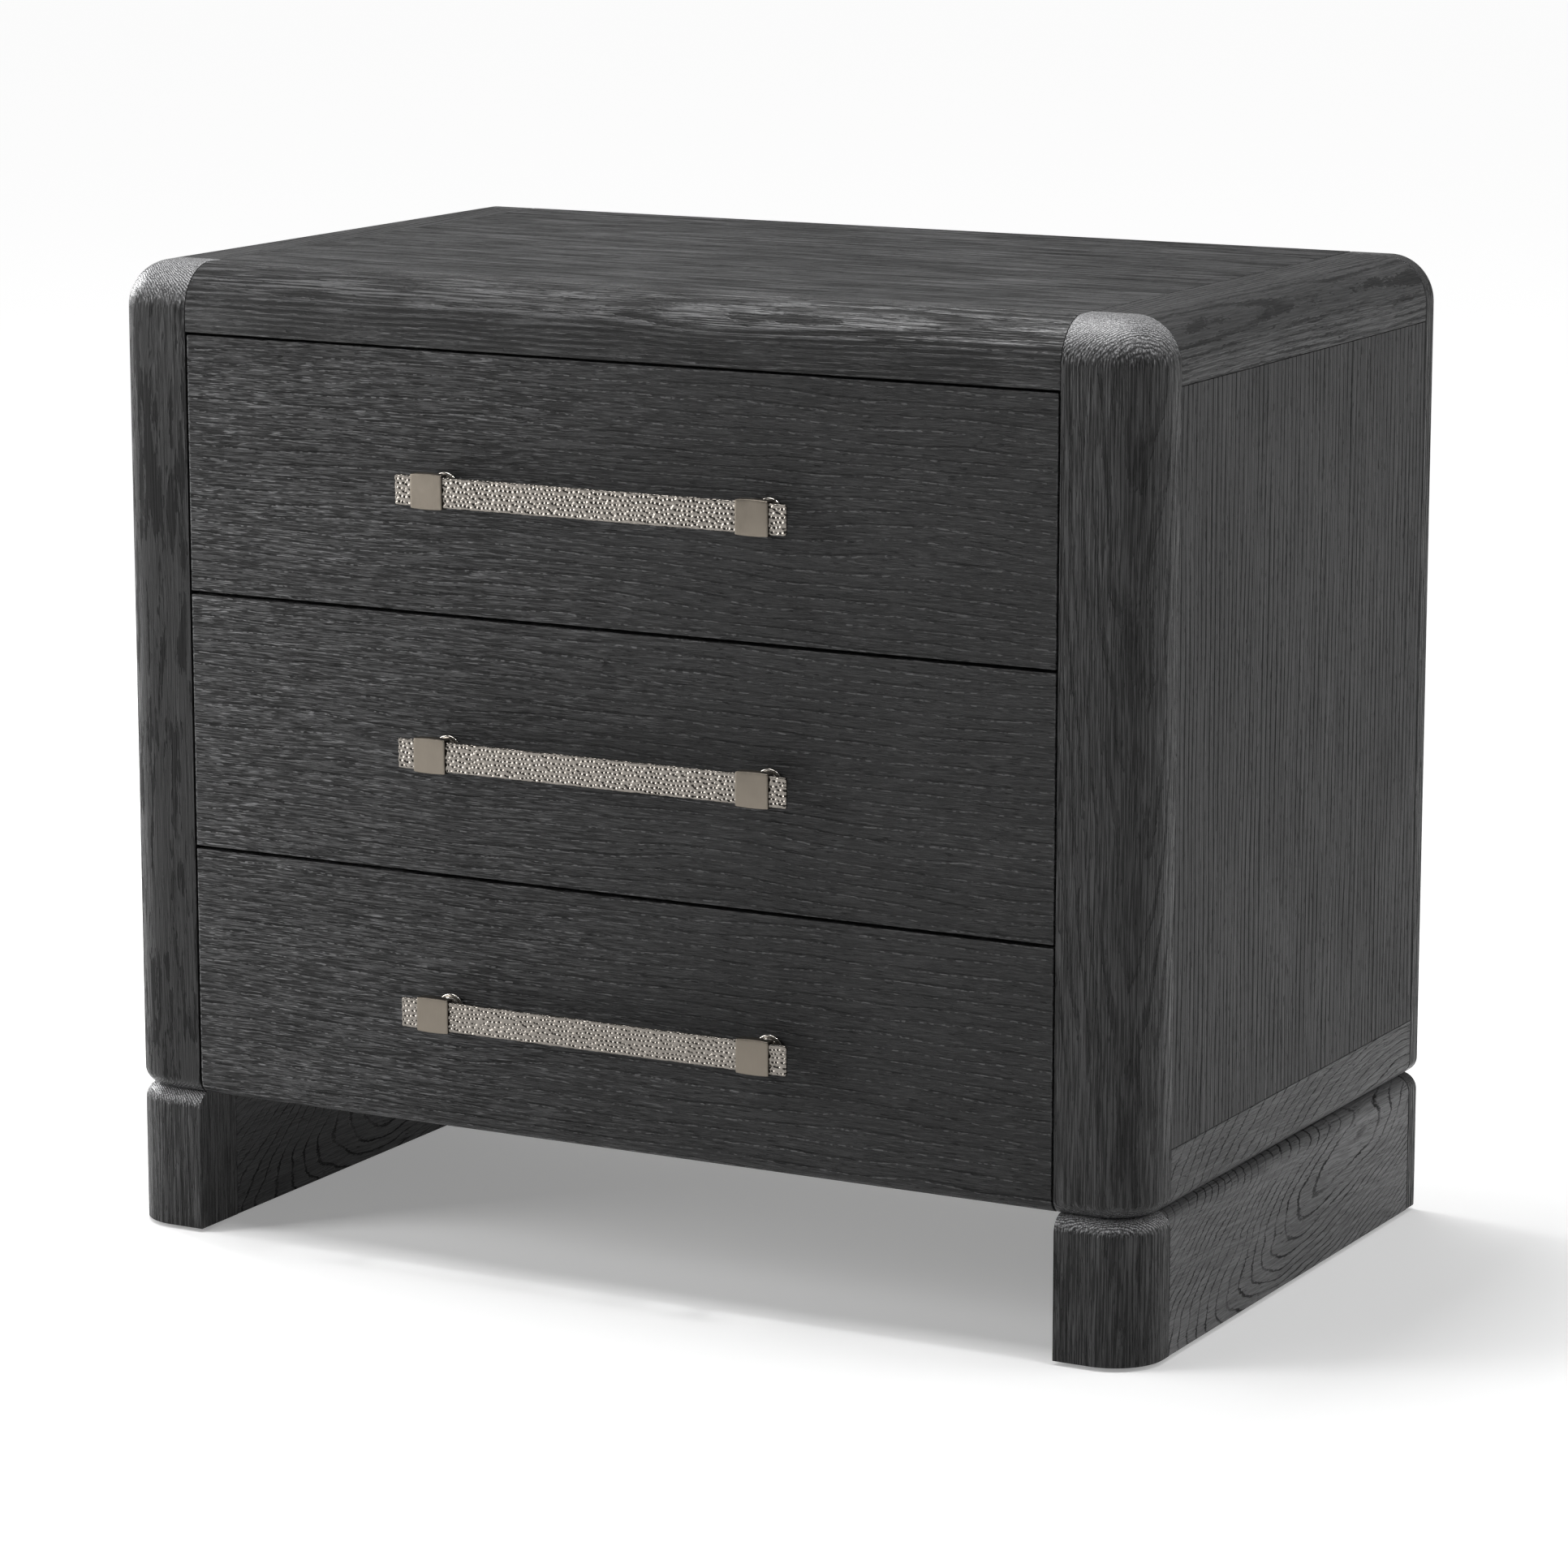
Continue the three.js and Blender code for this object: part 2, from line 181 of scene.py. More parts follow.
# ------------------------------------------------------------------ node helpers
class Tree:
    def __init__(self, name):
        self.m = bpy.data.materials.new(name)
        self.m.use_nodes = True
        self.t = self.m.node_tree
        self.t.nodes.clear()
        self.out = self.t.nodes.new("ShaderNodeOutputMaterial")

    def node(self, kind, inputs=None, **props):
        n = self.t.nodes.new(kind)
        for k, v in props.items():
            setattr(n, k, v)
        for k, v in (inputs or {}).items():
            self.put(n.inputs[k], v)
        return n

    def put(self, socket, v):
        if isinstance(v, bpy.types.NodeSocket):
            self.t.links.new(v, socket)
        elif v is not None:
            socket.default_value = v

    def math(self, op, a, b=None, c=None, clamp=False):
        n = self.node("ShaderNodeMath", operation=op, use_clamp=clamp)
        for i, v in enumerate((a, b, c)):
            if v is not None:
                self.put(n.inputs[i], v)
        return n.outputs[0]

    def vmath(self, op, a, b=None, scale=None):
        n = self.node("ShaderNodeVectorMath", operation=op)
        self.put(n.inputs[0], a)
        if b is not None:
            self.put(n.inputs[1], b)
        if scale is not None:
            self.put(n.inputs["Scale"], scale)
        return n.outputs["Value"] if op in ("LENGTH", "DOT_PRODUCT", "DISTANCE") else n.outputs[0]

    def combine(self, x, y, z):
        return self.node("ShaderNodeCombineXYZ", {0: x, 1: y, 2: z}).outputs[0]

    def separate(self, v):
        n = self.node("ShaderNodeSeparateXYZ", {0: v})
        return n.outputs[0], n.outputs[1], n.outputs[2]

    def noise(self, vec, scale=1.0, detail=2.0, rough=0.5, distortion=0.0, out=0):
        n = self.node("ShaderNodeTexNoise", {"Vector": vec, "Scale": scale, "Detail": detail, "Roughness": rough,
                                            "Distortion": distortion})
        return n.outputs[out]

    def ramp(self, value, lo, hi, a=0.0, b=1.0, smooth=True):
        n = self.node("ShaderNodeMapRange", {0: value, 1: lo, 2: hi, 3: a, 4: b},
                      interpolation_type="SMOOTHSTEP" if smooth else "LINEAR")
        n.clamp = True
        return n.outputs[0]

    def mix(self, fac, a, b, kind="MIX"):
        n = self.node("ShaderNodeMix", data_type="RGBA", blend_type=kind)
        self.put(n.inputs[0], fac)
        for i, v in ((6, a), (7, b)):
            self.put(n.inputs[i], v if isinstance(v, bpy.types.NodeSocket) else (*v, 1.0) if len(v) == 3 else v)
        return n.outputs[2]

    def mixf(self, fac, a, b):
        n = self.node("ShaderNodeMix", data_type="FLOAT")
        self.put(n.inputs[0], fac)
        self.put(n.inputs[2], a)
        self.put(n.inputs[3], b)
        return n.outputs[0]

    def principled(self, inputs):
        b = self.node("ShaderNodeBsdfPrincipled", inputs)
        self.t.links.new(b.outputs[0], self.out.inputs[0])
        return b


AX = {"X": 0, "Y": 1, "Z": 2}


def oak(name, grain="X", seed=0.0, mass=0.34, filled_pore_painted_highlight=0.0, streak_w=9.0, pith=(0.0, 0.0), tilt=(0.0, 0.0), oval=0.0, heart=0.0, ring=5.0, wave=3.0,
        wave_len=160.0, jag=1.0, early=0.25, line=0.5, pores=0.6, comb=0.6, comb_len=45.0, comb_fine=0.9, fleck_and_painted_glint=0.0,
        streaks=0.0, dark=0.0035, light=0.020, silver=0.16, rough=0.42, bump=1.0, end=0.0, end_pitch=1.35,
        tint=(1.0, 1.0, 1.015), wear_and_left_highlight=None, spec=0.22,
        painted_light_span=None, crown=0.0):
    """Charcoal-stained, wire-brushed oak as a solid texture, in mm: u runs along the grain, v and w across it.

    pith: where the heart of the tree lies across the grain, tilt: how fast it drifts along the grain, oval: how much
    the rings close up along the grain round heart, which draws cathedrals. ring is the ring width, early the porous
    part of each ring, line how dark that part is, pores the open pores, comb the brushed fibre, glint the pale
    cerused slivers, painted brighter as highlights, streaks the broad black flames."""
    t = Tree(name)
    S = t.math
    pos = t.node("ShaderNodeTexCoord").outputs["Object"]
    x, y, z = t.separate(t.vmath("SCALE", pos, scale=1000.0))
    au, av, aw = {"X": (x, y, z), "Y": (y, x, z), "Z": (z, x, y)}[grain]
    u, v, w = S("ADD", au, 731.0 * seed), S("ADD", av, 97.0 * seed), S("ADD", aw, 53.0 * seed)

    def field(lu, lv, detail=2.0, rough_=0.55, src=None, out=0, shift=0.0):
        vv, ww = src or (v, w)
        return t.noise(t.combine(S("MULTIPLY", u, 1.0 / lu), S("MULTIPLY", vv, 1.0 / lv),
                                 S("MULTIPLY_ADD", ww, 1.0 / lv, shift)), 1.0, detail, rough_, out=out)

    # slow wander of the grain, and a quicker wobble
    lr, lg, lb = t.separate(field(wave_len, 60.0, 2.0, 0.5, out=1))
    v1 = S("MULTIPLY_ADD", S("SUBTRACT", lr, 0.5), wave * 4, v)
    w1 = S("MULTIPLY_ADD", S("SUBTRACT", lg, 0.5), wave * 4, w)
    sr, sg, sb = t.separate(field(22.0, 8.0, 2.0, 0.55, out=1))
    # growth rings
    pv = S("ADD", S("MULTIPLY_ADD", au, tilt[0], v1), -pith[0] - 97.0 * seed)
    pw = S("ADD", S("MULTIPLY_ADD", au, tilt[1], w1), -pith[1] - 53.0 * seed)
    pu = S("MULTIPLY", S("SUBTRACT", au, heart), oval) if oval else 0.0
    r = t.vmath("LENGTH", t.combine(pv, pw, pu))
    r = S("MULTIPLY_ADD", S("SUBTRACT", lb, 0.5), ring * 3.0, r)
    r = S("MULTIPLY_ADD", S("SUBTRACT", sb, 0.5), 2.4 * jag, r)
    fine_jag = field(5.0, 1.3, 1.0, 0.5)
    r1 = S("MULTIPLY_ADD", S("SUBTRACT", fine_jag, 0.5), 1.6 * jag, r)
    phase = S("FRACT", S("DIVIDE", r1, ring))
    ew = S("MULTIPLY", t.ramp(phase, 0.0, 0.06), t.ramp(phase, early * 1.5, early * 0.75))
    fade = t.ramp(field(70.0, 16.0, 1.0, 0.5, shift=11.0), 0.30, 0.62)
    ew = S("MULTIPLY", ew, S("MULTIPLY_ADD", fade, 0.75, 0.25))
    # fibre
    fibre = field(comb_len, 1.0 / comb_fine, 2.0, 0.50, (v1, w1))
    coarse = field(comb_len * 2.4, 3.4, 2.0, 0.55, (v1, w1), shift=5.0)
    fb = S("ADD", S("MULTIPLY", t.ramp(fibre, 0.42, 0.60), 1.0 - mass),
           S("MULTIPLY", t.ramp(coarse, 0.38, 0.62, smooth=False), mass))
    # painted light: tone, fibre contrast, slivers and pore dashes are strongest at the left end of the grain and fade
    # towards the right, as if lit from the left
    painted_light_fade = t.ramp(au, painted_light_span[0], painted_light_span[1], 1.0, painted_light_span[2]) if painted_light_span else 1.0
    # pores: dark dashes, crowded in the porous part of the ring
    pore_n = field(11.0, 0.95, 1.0, 0.5, (v1, w1), shift=23.0)
    pore = S("MULTIPLY", t.ramp(S("SUBTRACT", pore_n, t.mixf(ew, 0.660, 0.500)), 0.0, 0.07), pores, clamp=True)
    black = S("MAXIMUM", pore, S("MULTIPLY", ew, line))
    if streaks:
        st = field(70.0, streak_w, 4.0, 0.68, (v1, w1), shift=41.0)
        black = S("MAXIMUM", black, S("MULTIPLY", t.ramp(st, 0.53, 0.565), streaks))
    # painted light: the tone is lifted and its contrast raised towards the left end
    tone = S("MULTIPLY_ADD", S("SUBTRACT", fb, 0.5), S("MULTIPLY", painted_light_fade, comb), S("MULTIPLY_ADD", painted_light_fade, 0.2, 0.3))
    tone = S("ADD", tone, 0.0, clamp=True)
    cloud = field(240.0, 60.0, 2.0, 0.5, shift=3.0)
    lo_c = [dark * c for c in tint]
    hi_c = [light * c for c in tint]
    col = t.mix(tone, lo_c, hi_c)
    height = S("MULTIPLY", fibre, 1.0)
    height = S("MULTIPLY_ADD", coarse, 0.8, height)
    if fleck_and_painted_glint:
        # painted highlight: pale cerused slivers along the grain, painted brighter as if catching the light, and raised
        # in the bump
        gl = field(13.0, 0.62, 1.0, 0.5, (v1, w1), shift=57.0)
        gmask = t.ramp(field(90.0, 5.0, 1.0, 0.5, (v1, w1), shift=71.0), 0.36, 0.60)
        g = S("MULTIPLY", t.ramp(gl, 0.575, 0.64), S("MULTIPLY_ADD", gmask, 0.5, 0.5))
        col = t.mix(S("MULTIPLY", S("MULTIPLY", g, fleck_and_painted_glint), painted_light_fade, clamp=True), col, [silver * c for c in tint])
        height = S("MULTIPLY_ADD", g, 0.45, height)
    if filled_pore_painted_highlight:
        # open pores along the rings, filled pale, with a painted highlight on each lower lip
        rowl = S("MULTIPLY", t.ramp(phase, early * 1.2, early * 1.2 + 0.05), t.ramp(phase, early * 1.2 + 0.14, early * 1.2 + 0.07))
        dash = t.ramp(field(5.0, 2.4, 1.0, 0.5, shift=83.0), 0.50, 0.57)
        col = t.mix(S("MULTIPLY", S("MULTIPLY", rowl, dash), S("MULTIPLY", S("MULTIPLY_ADD", painted_light_fade, 0.5, 0.5), filled_pore_painted_highlight)), col, [silver * 0.8 * c for c in tint])
    col = t.mix(S("MULTIPLY", black, 0.92), col, (0.0016, 0.0016, 0.0017))
    col = t.mix(1.0, col, t.combine(*[t.ramp(cloud, 0.3, 0.7, 0.80, 1.20, smooth=False)] * 3), "MULTIPLY")
    height = S("MULTIPLY_ADD", black, -1.1, height)
    rgh = S("ADD", S("MULTIPLY_ADD", black, 0.30, rough), S("MULTIPLY", S("SUBTRACT", fb, 0.5), -0.14))
    if crown:
        # painted highlight: the rolled edge is painted lighter where it faces upward, as if lit from above, except in
        # its pores
        nz = t.separate(t.node("ShaderNodeNewGeometry").outputs["Normal"])[2]
        painted_top_light = S("MULTIPLY", t.ramp(nz, 0.05, 0.60), crown)
        col = t.mix(S("MULTIPLY", painted_top_light, S("SUBTRACT", 1.0, black)), col, t.mix(tone, (0.010, 0.010, 0.0103), (0.115, 0.115, 0.117)))
    if end:
        # sawn-off fibres on the rounded ends: rings as fine arcs, pores as specks, a paler filled end grain that also
        # carries a painted highlight
        normal = t.node("ShaderNodeNewGeometry").outputs["Normal"]
        g3 = [0.0, 0.0, 0.0]
        g3[AX[grain]] = 1.0
        along = t.vmath("DOT_PRODUCT", normal, g3)
        e = t.ramp(S("MULTIPLY_ADD", S("SUBTRACT", fibre, 0.5), 0.7, S("ABSOLUTE", along)), 0.08, 0.74)
        # painted shade: end grain that faces downward is painted much darker
        painted_underside_shade = t.ramp(along, -0.1, 0.1, 0.12, 1.0)
        wob = t.noise(t.combine(S("MULTIPLY", x, 0.22), S("MULTIPLY", y, 0.22), S("MULTIPLY", z, 0.22)), 1.0, 2.0, 0.5)
        rr = S("MULTIPLY_ADD", wob, 2.2, r)
        arcs = S("PINGPONG", rr, end_pitch * 0.5)
        arcs = t.ramp(arcs, 0.10, end_pitch * 0.5 - 0.08)
        dots = t.noise(t.combine(S("MULTIPLY", x, 1.25), S("MULTIPLY", y, 1.25), S("MULTIPLY", z, 0.7)), 1.0, 1.0, 0.5)
        dd = t.ramp(dots, 0.38, 0.60)
        ev = S("MULTIPLY", S("MULTIPLY_ADD", arcs, 0.80, 0.20), S("MULTIPLY_ADD", dd, 0.75, 0.25))
        ecol = t.mix(S("MULTIPLY", ev, painted_underside_shade), (0.012, 0.012, 0.0125), (end, end, end * 1.02))
        col = t.mix(e, col, ecol)
        height = t.mixf(e, height, S("MULTIPLY_ADD", arcs, 0.10, S("MULTIPLY", dots, 0.13)))
        rgh = t.mixf(e, rgh, 0.17)
    if wear_and_left_highlight:
        # the arris is worn a little lighter by handling, and the left edge also gets a painted highlight
        (ax, ay, az), (bx, by, bz) = wear_and_left_highlight
        near = []
        for c, a, b in ((x, ax, bx), (y, ay, by), (z, az, bz)):
            near.append(S("MINIMUM", S("SUBTRACT", c, a * 1000), S("SUBTRACT", b * 1000, c)))
        mx = S("MAXIMUM", S("MAXIMUM", S("MINIMUM", near[0], near[1]), S("MINIMUM", near[1], near[2])),
               S("MINIMUM", near[0], near[2]))
        wn = t.noise(t.combine(S("MULTIPLY", x, 0.11), S("MULTIPLY", y, 0.11), S("MULTIPLY", z, 0.11)), 1.0, 3.0, 0.6)
        wr = S("MULTIPLY", t.ramp(mx, 1.4, 0.2), t.ramp(wn, 0.42, 0.62))
        col = t.mix(S("MULTIPLY", wr, 0.6), col, (0.085, 0.085, 0.087))
        # painted highlight: the left upright edge is painted lighter, as if it caught a light from the left
        wd = t.noise(t.combine(S("MULTIPLY", x, 0.5), S("MULTIPLY", y, 0.5), S("MULTIPLY", z, 0.5)), 1.0, 2.0, 0.6)
        painted_left_edge_highlight = S("MULTIPLY", t.ramp(S("SUBTRACT", x, ax * 1000), 1.6, 0.7), t.ramp(wd, 0.44, 0.56))
        col = t.mix(S("MULTIPLY", painted_left_edge_highlight, 0.8), col, (0.17, 0.17, 0.173))
    bmp = t.node("ShaderNodeBump", {"Strength": min(1.0, 0.9 * bump), "Distance": 0.0012 * max(1.0, bump), "Height": height})
    t.principled({"Base Color": col, "Roughness": rgh, "Normal": bmp.outputs[0], "Specular IOR Level": spec})
    return t.m


def metal(name, base, rough, streak_axis="Z", streak=0.10, bump=0.06, dirt=None):
    """Warm nickel. streak_axis is the direction of the fine brushing."""
    t = Tree(name)
    pos = t.node("ShaderNodeTexCoord").outputs["Object"]
    x, y, z = t.separate(t.vmath("SCALE", pos, scale=1000.0))
    lng = {"X": (0.05, 5.5, 5.5), "Z": (5.5, 5.5, 0.05), "N": (1.6, 1.6, 1.6)}[streak_axis]
    n = t.noise(t.combine(t.math("MULTIPLY", x, lng[0]), t.math("MULTIPLY", y, lng[1]), t.math("MULTIPLY", z, lng[2])),
                1.0, 3.0, 0.6)
    n2 = t.noise(t.combine(t.math("MULTIPLY", x, 0.07), t.math("MULTIPLY", y, 0.07), t.math("MULTIPLY", z, 0.07)),
                 1.0, 2.0, 0.5)
    f = t.ramp(n, 0.3, 0.7, 1 - streak, 1 + streak, smooth=False)
    f = t.math("MULTIPLY", f, t.ramp(n2, 0.3, 0.7, 0.94, 1.06, smooth=False))
    col = t.mix(1.0, base, t.combine(f, f, f), "MULTIPLY")
    rgh = t.math("ADD", t.math("MULTIPLY", t.math("SUBTRACT", n, 0.5), 0.28), t.ramp(n2, 0.3, 0.7, rough - 0.03, rough + 0.05))
    bmp = t.node("ShaderNodeBump", {"Strength": bump, "Distance": 0.0002, "Height": n})
    t.principled({"Base Color": col, "Roughness": rgh, "Metallic": 1.0, "Normal": bmp.outputs[0]})
    return t.m


def nylon(name):
    t = Tree(name)
    pos = t.node("ShaderNodeTexCoord").outputs["Object"]
    n = t.noise(pos, 900.0, 3.0, 0.6)
    col = t.mix(n, (0.010, 0.010, 0.011), (0.022, 0.022, 0.023))
    bmp = t.node("ShaderNodeBump", {"Strength": 0.2, "Distance": 0.0002, "Height": n})
    t.principled({"Base Color": col, "Roughness": t.ramp(n, 0.3, 0.7, 0.42, 0.6), "Normal": bmp.outputs[0]})
    return t.m


# ------------------------------------------------------------------ camera, lights, floor
cam_data = bpy.data.cameras.new("camera")
cam_data.sensor_width = 36.0
cam_data.lens = 130.67
cam = bpy.data.objects.new("camera", cam_data)
bpy.context.scene.collection.objects.link(cam)
cam.location = (1.92797, -3.53531, 1.12381)
cam.rotation_mode = "QUATERNION"
cam.rotation_quaternion = Vector((-0.4667561, 0.8627146, -0.1945821)).to_track_quat("-Z", "Y")
bpy.context.scene.camera = cam
bpy.context.scene.view_settings.view_transform = "Standard"
bpy.context.scene.view_settings.look = "None"


def softbox(name, loc, target, size, power, color=(1, 1, 1)):
    d = bpy.data.lights.new(name, "AREA")
    d.shape = "RECTANGLE"
    d.size, d.size_y = size
    d.energy = power
    d.color = color
    o = bpy.data.objects.new(name, d)
    bpy.context.scene.collection.objects.link(o)
    o.location = loc
    o.rotation_mode = "QUATERNION"
    o.rotation_quaternion = (Vector(target) - Vector(loc)).to_track_quat("-Z", "Y")
    return o


softbox("overhead", (-0.45, 0.0, 2.6), (-0.40, 0.0, 0.3), (2.1, 1.1), 60.0)
softbox("key_left", (-2.05, -1.75, 1.05), (-0.15, -0.1, 0.40), (0.9, 1.6), 40.0)
softbox("rim_left", (-2.8, 0.9, 1.1), (-0.35, -0.1, 0.45), (0.6, 1.0), 32.0)
softbox("spark", (0.75, -0.30, 2.4), (0.38, -0.2, 0.7), (0.18, 0.18), 10.0)
softbox("fill_right", (2.6, 0.9, 1.2), (0.4, 0.0, 0.35), (1.4, 1.4), 18.0)

world = bpy.data.worlds.new("studio")
bpy.context.scene.world = world
world.use_nodes = True
wt = world.node_tree
wt.nodes.clear()
seen, lit = wt.nodes.new("ShaderNodeBackground"), wt.nodes.new("ShaderNodeBackground")
seen.inputs[0].default_value, seen.inputs[1].default_value = (1.0, 1.0, 1.0, 1.0), 1.0
lit.inputs[0].default_value = (1.0, 1.0, 1.0, 1.0)
wdir, wsep, wramp = (wt.nodes.new(k) for k in ("ShaderNodeTexCoord", "ShaderNodeSeparateXYZ", "ShaderNodeMapRange"))
wt.links.new(wdir.outputs["Generated"], wsep.inputs[0])
wt.links.new(wsep.outputs[1], wramp.inputs[0])
for k, val in ((1, -0.3), (2, 0.7), (3, 0.06), (4, 0.26)):
    wramp.inputs[k].default_value = val
wt.links.new(wramp.outputs[0], lit.inputs[1])
wmix, wpath, wout = (wt.nodes.new(k) for k in ("ShaderNodeMixShader", "ShaderNodeLightPath", "ShaderNodeOutputWorld"))
wt.links.new(wpath.outputs["Is Camera Ray"], wmix.inputs[0])
wt.links.new(lit.outputs[0], wmix.inputs[1])
wt.links.new(seen.outputs[0], wmix.inputs[2])
wt.links.new(wmix.outputs[0], wout.inputs[0])

t = Tree("floor_paper")
pos = t.node("ShaderNodeTexCoord").outputs["Object"]
n = t.noise(pos, 3.0, 2.0, 0.5)
far = t.ramp(t.vmath("LENGTH", pos), 0.5, 4.5, 0.26, 0.84)
t.principled({"Base Color": t.mix(n, (0.90, 0.90, 0.90), (0.92, 0.92, 0.92)), "Roughness": 0.9,
              "Specular IOR Level": 0.1, "Emission Color": (1.0, 1.0, 1.0, 1.0), "Emission Strength": far})
fl, ff = [(-40, -40, 0), (40, -40, 0), (40, 40, 0), (-40, 40, 0)], [(0, 1, 2, 3)]
me = bpy.data.meshes.new("floor")
me.from_pydata(fl, [], ff)
me.materials.append(t.m)
floor = bpy.data.objects.new("floor", me)
bpy.context.scene.collection.objects.link(floor)

# ------------------------------------------------------------------ materials
M = {}
post = dict(grain="Z", ring=3.6, wave=1.6, wave_len=190.0, jag=0.45, early=0.30, line=0.45, pores=0.8, comb=1.3, comb_len=45.0,
            comb_fine=1.0, mass=0.15, dark=0.003, light=0.030, bump=1.2, end=0.52, rough=0.38, spec=0.28)
M["front_left_post"] = oak("oak_post_left", seed=1.3, pith=(-270.0, -90.0), tilt=(0.02, 0.0), streaks=1.0, streak_w=8.5,
                           **dict(post, light=0.018, comb=0.35, line=0.15, pores=0.35, bump=0.7, spec=0.24))
M["front_right_post"] = oak("oak_post_right", seed=2.1, pith=(315.0, -125.0), tilt=(0.03, -0.02), streaks=0.12, **dict(post, light=0.033))
rear = dict(post, end=0.08, spec=0.25)
M["back_left_post"] = oak("oak_rear_left", seed=3.7, pith=(-300.0, -200.0), **rear)
M["back_right_post"] = oak("oak_rear_right", seed=4.2, pith=(300.0, -200.0), **rear)
# the front rail's crown setting paints a highlight on the upward faces of its rolled edge
M["front_top_rail"] = oak("oak_front_rail", "X", 5.1, pith=(100.0, 400.0), ring=2.6, wave=1.4, wave_len=260.0, jag=0.28, early=0.42,
                          line=1.0, pores=1.0, comb=1.3, comb_len=60.0, comb_fine=0.8, mass=0.15, dark=0.002, light=0.026, bump=1.1,
                          rough=0.30, spec=0.30, fleck_and_painted_glint=0.6, silver=0.12, crown=0.9)
side = dict(wave=1.3, wave_len=260.0, jag=0.7, dark=0.028, light=0.058, comb=0.7, comb_len=26.0, bump=0.8, rough=0.46)
M["left_top_rail"] = oak("oak_left_rail", "Y", 6.4, pith=(-250.0, 560.0), ring=3.0, early=0.35, line=0.6, pores=0.7, **side)
M["right_top_rail"] = oak("oak_right_rail", "Y", 7.9, pith=(250.0, 560.0), ring=3.0, early=0.35, line=0.6, pores=0.7, **side)
M["top_panel"] = oak("oak_top_panel", "X", 8.3, pith=(900.0, 380.0), ring=2.8, wave=1.6, wave_len=300.0, jag=0.3, early=0.36, line=0.9, pores=0.9,
                     comb=1.35, comb_len=60.0, comb_fine=0.42, dark=0.008, light=0.096, bump=1.2, rough=0.48, fleck_and_painted_glint=0.6, spec=0.14, mass=0.45)
panel = dict(grain="Z", ring=6.8, wave=0.8, wave_len=420.0, jag=0.4, early=0.26, line=0.85, pores=0.9, comb=0.35, comb_len=70.0,
             dark=0.020, light=0.035, bump=0.7, rough=0.47, spec=0.16)
M["left_side_panel"] = oak("oak_side_left", seed=9.2, pith=(-395.0, 3000.0), **panel)
M["right_side_panel"] = oak("oak_side_right", seed=10.6, pith=(395.0, 3000.0), **panel)
flat = dict(side, ring=4.4, early=0.14, line=0.9, pores=0.7, oval=0.28, wave=2.6, wave_len=130.0, bump=0.6, dark=0.042, light=0.072)
M["left_bottom_rail"] = oak("oak_low_rail_left", "Y", 11.3, pith=(-380.0, 96.0), heart=230.0, **flat)
M["right_bottom_rail"] = oak("oak_low_rail_right", "Y", 12.8, pith=(380.0, 96.0), heart=230.0, **flat)
M["left_base_front_block"] = oak("oak_block_left", seed=13.5, pith=(-270.0, -90.0), streaks=0.3, **dict(post, light=0.037))
M["right_base_front_block"] = oak("oak_block_right", seed=14.4, pith=(330.0, -110.0), streaks=0.25, **dict(post, light=0.040))
flat.update(dark=0.068, light=0.118, tilt=(0.0, -0.25), line=1.0, early=0.16)
M["right_base_board"] = oak("oak_base_right", "Y", 16.9, pith=(380.0, 45.0), heart=120.0, **flat)
# painted shade: the left base board gets a darker copy of the same oak, for its shaded inner face
flat.update(dark=0.020, light=0.042)
M["left_base_board"] = oak("oak_base_left_shaded", "Y", 15.2, pith=(-380.0, 45.0), heart=120.0, **flat)
M["left_base_back_block"] = oak("oak_base_rear_left", seed=17.7, pith=(-300.0, -200.0), **rear)
M["right_base_back_block"] = oak("oak_base_rear_right", seed=18.6, pith=(300.0, -200.0), **rear)
for i, lv in enumerate(("bottom", "middle", "top")):
    a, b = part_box(f"{lv}_drawer_front")
    M[f"{lv}_drawer_front"] = oak(f"oak_front_{lv}", "X", 20.3 + 3.17 * i, pith=(-260.0, 900.0 + 170 * i), tilt=(0.0, 0.012),
                                  ring=9.0, wave=1.5, wave_len=230.0, jag=0.6, early=0.12, line=0.6, pores=0.9, comb=1.6, comb_len=26.0,
                                  comb_fine=1.15, mass=0.12, fleck_and_painted_glint=1.0, silver=0.17, dark=0.0025, light=0.044, bump=1.2, rough=0.38,
                                  filled_pore_painted_highlight=0.95, wear_and_left_highlight=(a, b), painted_light_span=(-330.0, 150.0, 0.20))
box_wood = dict(dark=0.045, light=0.105, tint=(1.0, 0.9, 0.8), comb=0.5, bump=0.4, pores=0.6, line=0.3, rough=0.55)
BOX_Y = oak("box_wood_along", "Y", 31.0, pith=(200.0, 150.0), ring=5.0, **box_wood)
BOX_X = oak("box_wood_across", "X", 33.0, pith=(200.0, 150.0), ring=5.0, **box_wood)
PLY = oak("stained_ply", "X", 35.0, pith=(90.0, 700.0), ring=9.0, dark=0.030, light=0.070, tint=(1.0, 0.93, 0.85), comb=0.5,
          bump=0.3, pores=0.5, line=0.3, rough=0.6)
STEEL = metal("zinc_steel", (0.165, 0.168, 0.175), 0.38, "N", 0.04, 0.02)
STRAP = metal("hammered_nickel", (0.195, 0.179, 0.160), 0.22, "N", 0.06, 0.02)
ROSE = metal("polished_nickel", (0.52, 0.49, 0.45), 0.20, "N", 0.05, 0.02)
COLLAR = metal("satin_nickel", (0.165, 0.145, 0.120), 0.36, "Z", 0.07, 0.05)
NYLON = nylon("glide_nylon")

